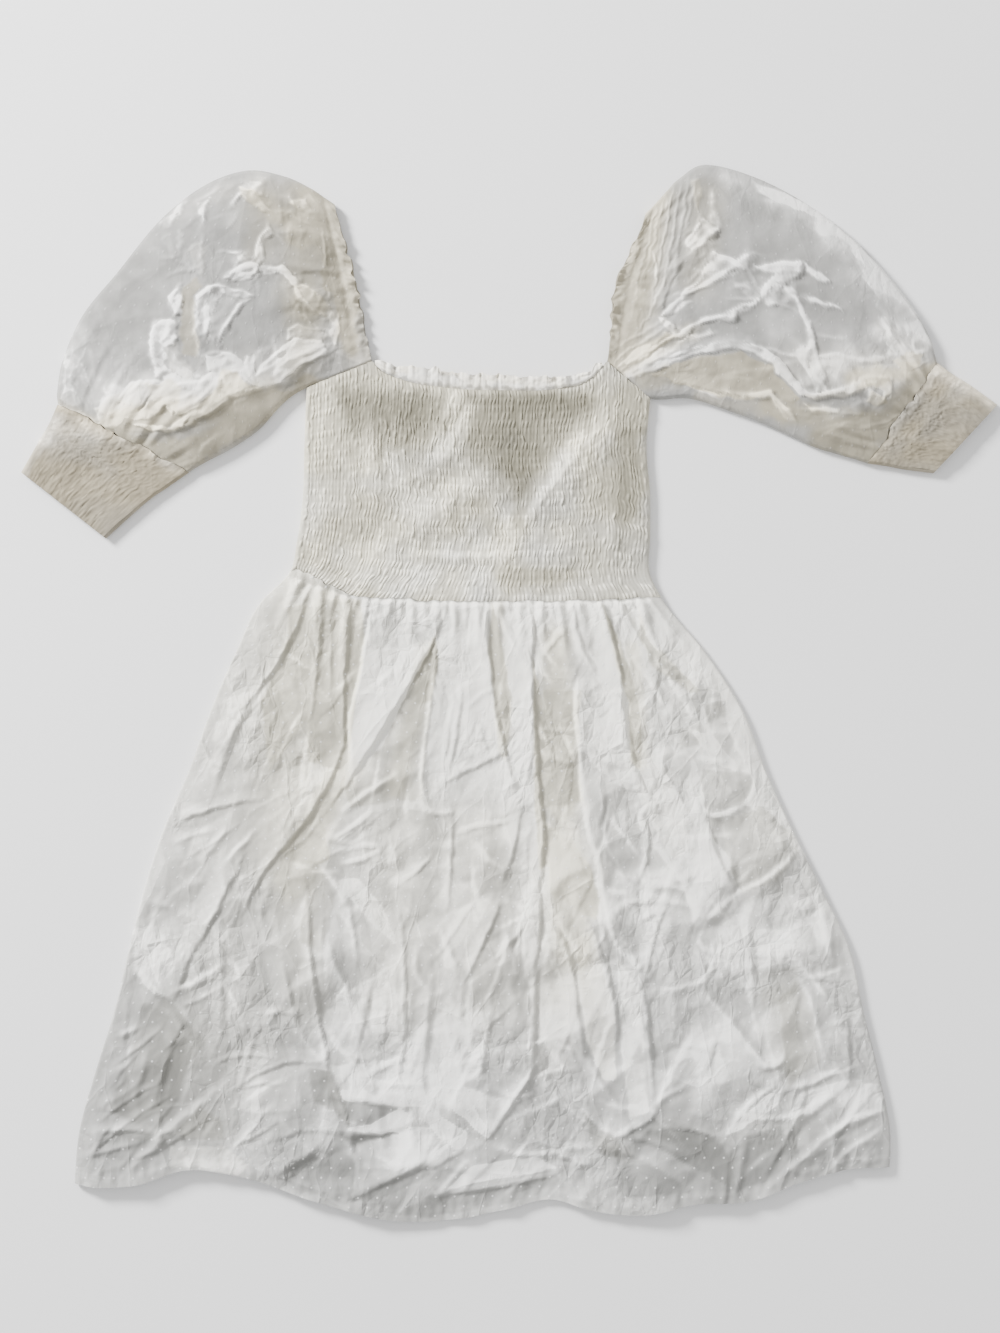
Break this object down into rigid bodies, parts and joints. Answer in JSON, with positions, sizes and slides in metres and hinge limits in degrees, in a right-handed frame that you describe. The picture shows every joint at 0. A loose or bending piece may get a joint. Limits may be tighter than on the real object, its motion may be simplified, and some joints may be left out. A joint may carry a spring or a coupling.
{
  "type": "peasant dress",
  "caption": "Short white cotton peasant dress laid flat: smocked square-neck bodice, puff sleeves with smocked cuffs, gathered skirt.",
  "frame": {"origin": "middle of the laid-out dress in X and Y, at the surface that it rests on", "axes": "+Z off the surface, +Y from the hem to the neck, +X to the right as the laid-out dress is seen from above"},
  "size_m": [0.838, 0.9068, 0.0272],
  "materials": {
    "skirt_front": "matt dotted cotton",
    "skirt_back": "matt dotted cotton",
    "bodice_front": "matt smocked cotton",
    "bodice_back": "matt smocked cotton",
    "neck_frill": "matt cotton",
    "sleeve_left": "matt sheer cotton",
    "sleeve_right": "matt sheer cotton",
    "cuff_left": "matt smocked cotton",
    "cuff_right": "matt smocked cotton"
  },
  "bodies": {
    "root": {"skirt_front": "skirt_front", "skirt_back": "skirt_back", "bodice_front": "bodice_front", "bodice_back": "bodice_back", "neck_frill": "neck_frill", "sleeve_left": "sleeve_left", "sleeve_right": "sleeve_right", "cuff_left": "cuff_left", "cuff_right": "cuff_right"}
  },
  "joints": []
}
